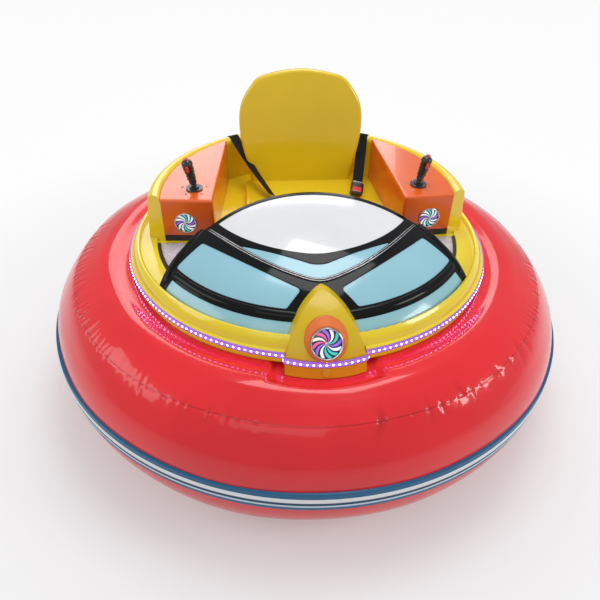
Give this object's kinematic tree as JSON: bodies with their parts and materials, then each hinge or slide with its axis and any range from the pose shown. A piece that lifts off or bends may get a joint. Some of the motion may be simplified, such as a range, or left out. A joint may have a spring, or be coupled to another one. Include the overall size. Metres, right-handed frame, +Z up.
{
  "type": "bumper car",
  "caption": "Round fairground bumper car: inflated red ring, yellow hull, domed bonnet, seat, tilting drive sticks.",
  "frame": {"origin": "on the floor at the middle of the ring, which is the centre of the bounding box's bottom face", "axes": "+Z up, -Y toward the nose, +X to the left of a seated rider"},
  "size_m": [1.9498, 1.9498, 1.0601],
  "materials": {
    "tube_red": "glossy PVC",
    "band_blue": "satin",
    "hull_yellow": "gloss gelcoat",
    "cowl_yellow": "gloss gelcoat",
    "console_orange": "gloss",
    "bonnet_black": "gloss",
    "window_blue": "gloss",
    "panel_white": "gloss",
    "plate_steel": "raised tread",
    "trim_black": "matte",
    "led_white": "lit",
    "lamp_pattern": "clear lens",
    "stick_black": "satin",
    "button_red": "gloss",
    "flange_grey": "satin",
    "webbing_black": "woven",
    "buckle_black": "satin",
    "frame_grey": "satin",
    "motor_black": "satin",
    "zinc": "zinc plated",
    "tyre_black": "matte",
    "caster_tyre": "matte",
    "hub_grey": "satin",
    "battery_grey": "matte"
  },
  "bodies": {
    "body": {"inflatable_tube": "tube_red", "bumper_band": "band_blue", "hull_tub": "hull_yellow", "rear_cowl": "cowl_yellow", "nose_cone": "hull_yellow", "nose_lamp_ring": "console_orange", "nose_lamp": "lamp_pattern", "console_left": "console_orange", "console_right": "console_orange", "console_lamps": "lamp_pattern", "kick_strips": "trim_black", "floor_trim": "trim_black", "step_plate": "plate_steel", "seat_pan": "hull_yellow", "seat_shell": "cowl_yellow", "bonnet_shell": "bonnet_black", "windows_upper": "window_blue", "windows_lower": "window_blue", "window_centre": "window_blue", "top_panel": "panel_white", "light_strip": "led_white", "stick_flange_left": "flange_grey", "stick_flange_right": "flange_grey", "belt_left": "webbing_black", "belt_right": "webbing_black", "belt_buckle": "buckle_black", "battery_pack": "battery_grey", "chassis_frame": "frame_grey", "motor_brackets": "zinc", "drive_motors": "motor_black", "caster_plates": "zinc"},
    "stick_left": {"stick_grip_left": "stick_black", "stick_buttons_left": "button_red"},
    "stick_right": {"stick_grip_right": "stick_black", "stick_buttons_right": "button_red"},
    "drive_wheel_left": {"wheel_hub_left": "hub_grey", "wheel_tyre_left": "tyre_black"},
    "drive_wheel_right": {"wheel_hub_right": "hub_grey", "wheel_tyre_right": "tyre_black"},
    "caster_yoke_front": {"caster_fork_front": "zinc"},
    "caster_yoke_rear": {"caster_fork_rear": "zinc"},
    "caster_wheel_front": {"caster_hub_front": "hub_grey", "caster_tyre_front": "caster_tyre"},
    "caster_wheel_rear": {"caster_hub_rear": "hub_grey", "caster_tyre_rear": "caster_tyre"}
  },
  "joints": [
    {"name": "stick_tilt_left", "type": "hinge", "parent": "body", "child": "stick_left", "pos_m": [-0.413, 0.02369, 0.77135], "axis": [1, 0, 0], "range_deg": [-18, 18], "stiffness_Nm_per_rad": 0.6},
    {"name": "stick_tilt_right", "type": "hinge", "parent": "body", "child": "stick_right", "pos_m": [0.413, 0.02369, 0.77135], "axis": [1, 0, 0], "range_deg": [-18, 18], "stiffness_Nm_per_rad": 0.6},
    {"name": "drive_spin_left", "type": "hinge", "parent": "body", "child": "drive_wheel_left", "pos_m": [-0.33, 0, 0.1], "axis": [1, 0, 0], "continuous": true},
    {"name": "drive_spin_right", "type": "hinge", "parent": "body", "child": "drive_wheel_right", "pos_m": [0.33, 0, 0.1], "axis": [1, 0, 0], "continuous": true},
    {"name": "caster_swivel_front", "type": "hinge", "parent": "body", "child": "caster_yoke_front", "pos_m": [0, -0.33, 0.15], "axis": [0, 0, 1], "continuous": true},
    {"name": "caster_spin_front", "type": "hinge", "parent": "caster_yoke_front", "child": "caster_wheel_front", "pos_m": [0, -0.288, 0.0625], "axis": [1, 0, 0], "continuous": true},
    {"name": "caster_swivel_rear", "type": "hinge", "parent": "body", "child": "caster_yoke_rear", "pos_m": [0, 0.33, 0.15], "axis": [0, 0, 1], "continuous": true},
    {"name": "caster_spin_rear", "type": "hinge", "parent": "caster_yoke_rear", "child": "caster_wheel_rear", "pos_m": [0, 0.372, 0.0625], "axis": [1, 0, 0], "continuous": true}
  ]
}
